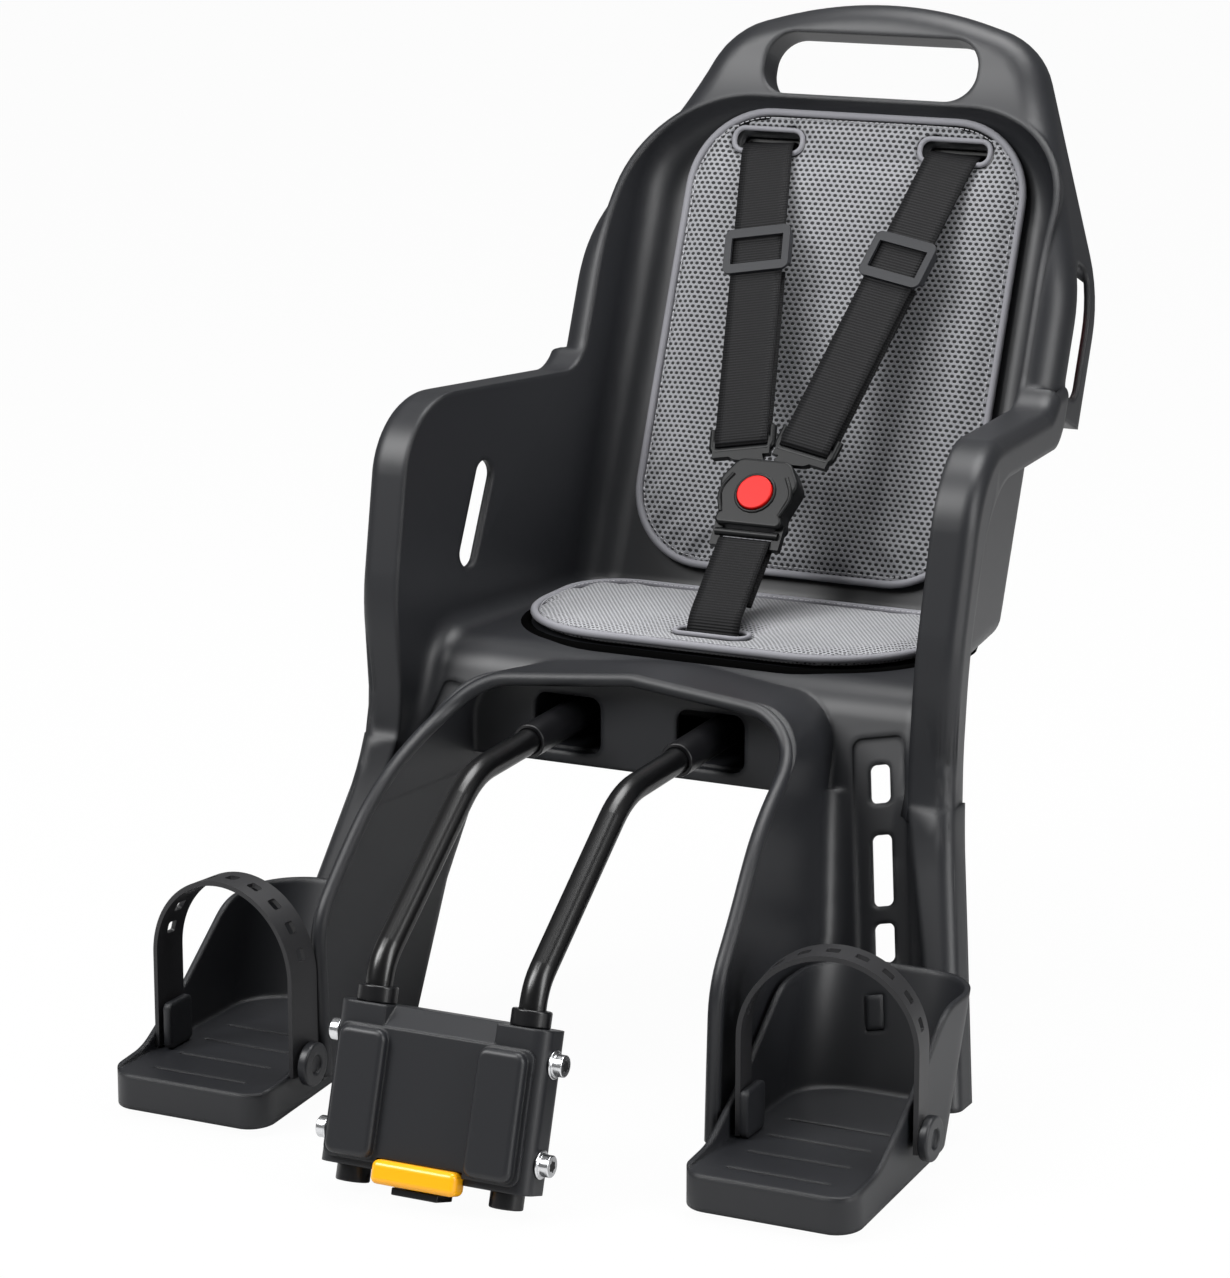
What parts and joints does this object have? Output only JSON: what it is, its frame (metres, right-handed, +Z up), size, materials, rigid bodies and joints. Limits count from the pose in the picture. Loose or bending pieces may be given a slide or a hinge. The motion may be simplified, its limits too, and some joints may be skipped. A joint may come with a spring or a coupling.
{
  "type": "child bike seat",
  "caption": "Rear-mounted child bicycle seat with moulded high-back shell, mesh pads, buckled harness, strap footrests and a two-rod carrier on a seat tube block.",
  "frame": {"origin": "on the axis of the seat tube, at the middle of the clamp's height", "axes": "+X to the right as seen from in front of the seat, +Y to the rear of the bicycle, +Z up"},
  "size_m": [0.5026, 0.6868, 0.6249],
  "materials": {
    "shell_plastic": "satin moulded charcoal",
    "block_plastic": "satin moulded charcoal",
    "sleeve_plastic": "fine matte black",
    "buckle_plastic": "satin moulded black",
    "back_mesh": "open spacer mesh with a piped edge",
    "seat_mesh": "fine spacer mesh with a piped edge",
    "webbing": "ribbed polyester webbing",
    "bar_paint": "gloss black paint on steel",
    "zinc_steel": "bright zinc plating",
    "spring_steel": "bare spring wire",
    "clamp_metal": "black painted casting",
    "strap_rubber": "matte moulded rubber",
    "button_red": "smooth moulded red",
    "latch_red": "smooth moulded red",
    "release_yellow": "smooth moulded yellow"
  },
  "bodies": {
    "tube_clamp": {"tube_saddle": "clamp_metal", "rear_jaw": "clamp_metal", "clamp_bolts": "zinc_steel"},
    "seat": {"seat_shell": "shell_plastic", "back_pad": "back_mesh", "seat_pad": "seat_mesh", "shoulder_strap_left": "webbing", "shoulder_strap_right": "webbing", "crotch_strap": "webbing", "strap_adjuster_left": "buckle_plastic", "strap_adjuster_right": "buckle_plastic", "strap_bar_left": "buckle_plastic", "strap_bar_right": "buckle_plastic", "crotch_bar": "buckle_plastic", "buckle_tongue_left": "buckle_plastic", "buckle_tongue_right": "buckle_plastic", "buckle_body": "buckle_plastic", "buckle_spring": "spring_steel", "carrier_bar": "bar_paint", "bar_sleeve_left": "sleeve_plastic", "bar_sleeve_right": "sleeve_plastic", "bar_saddle_front": "block_plastic", "bar_saddle_rear": "block_plastic", "saddle_screws": "zinc_steel", "mount_block": "block_plastic", "front_cover": "block_plastic", "side_bolts": "zinc_steel", "bar_collar_left": "sleeve_plastic", "bar_collar_right": "sleeve_plastic", "bar_cap_left": "sleeve_plastic", "bar_cap_right": "sleeve_plastic", "release_spring": "spring_steel", "latch_tab": "sleeve_plastic", "side_latch_pin_left": "zinc_steel", "side_latch_pin_right": "zinc_steel"},
    "footrest_left": {"footrest_left": "shell_plastic", "footrest_hook_left": "sleeve_plastic", "foot_strap_left": "strap_rubber", "strap_disc_left": "sleeve_plastic", "strap_anchor_left": "sleeve_plastic"},
    "footrest_right": {"footrest_right": "shell_plastic", "footrest_hook_right": "sleeve_plastic", "foot_strap_right": "strap_rubber", "strap_disc_right": "sleeve_plastic", "strap_anchor_right": "sleeve_plastic"},
    "buckle_button": {"buckle_button": "button_red"},
    "release_bar": {"release_bar": "release_yellow"},
    "side_latch_left": {"side_latch_left": "latch_red"},
    "side_latch_right": {"side_latch_right": "latch_red"}
  },
  "joints": [
    {"name": "lift_off", "type": "slide", "parent": "tube_clamp", "child": "seat", "axis": [0, 0.3007, 0.9537], "range_m": [0, 0.1]},
    {"name": "footrest_left_pull", "type": "slide", "parent": "seat", "child": "footrest_left", "axis": [0, -0.9187, 0.395], "range_m": [0, 0.05]},
    {"name": "footrest_right_pull", "type": "slide", "parent": "seat", "child": "footrest_right", "axis": [0, -0.9187, 0.395], "range_m": [0, 0.05]},
    {"name": "buckle_press", "type": "slide", "parent": "seat", "child": "buckle_button", "axis": [0, 0.788, -0.6157], "range_m": [0, 0.004], "stiffness_N_per_m": 800, "springref_m": -0.002, "deforming": ["buckle_spring"]},
    {"name": "release_press", "type": "slide", "parent": "seat", "child": "release_bar", "axis": [0, 0.9537, -0.3007], "range_m": [0, 0.003], "stiffness_N_per_m": 1200, "springref_m": -0.002, "deforming": ["release_spring"]},
    {"name": "side_latch_left_turn", "type": "hinge", "parent": "seat", "child": "side_latch_left", "pos_m": [-0.1595, 0.50156, 0.35828], "axis": [-1, 0, 0], "range_deg": [0, 30]},
    {"name": "side_latch_right_turn", "type": "hinge", "parent": "seat", "child": "side_latch_right", "pos_m": [0.1595, 0.50156, 0.35828], "axis": [-1, 0, 0], "range_deg": [0, 30]}
  ]
}
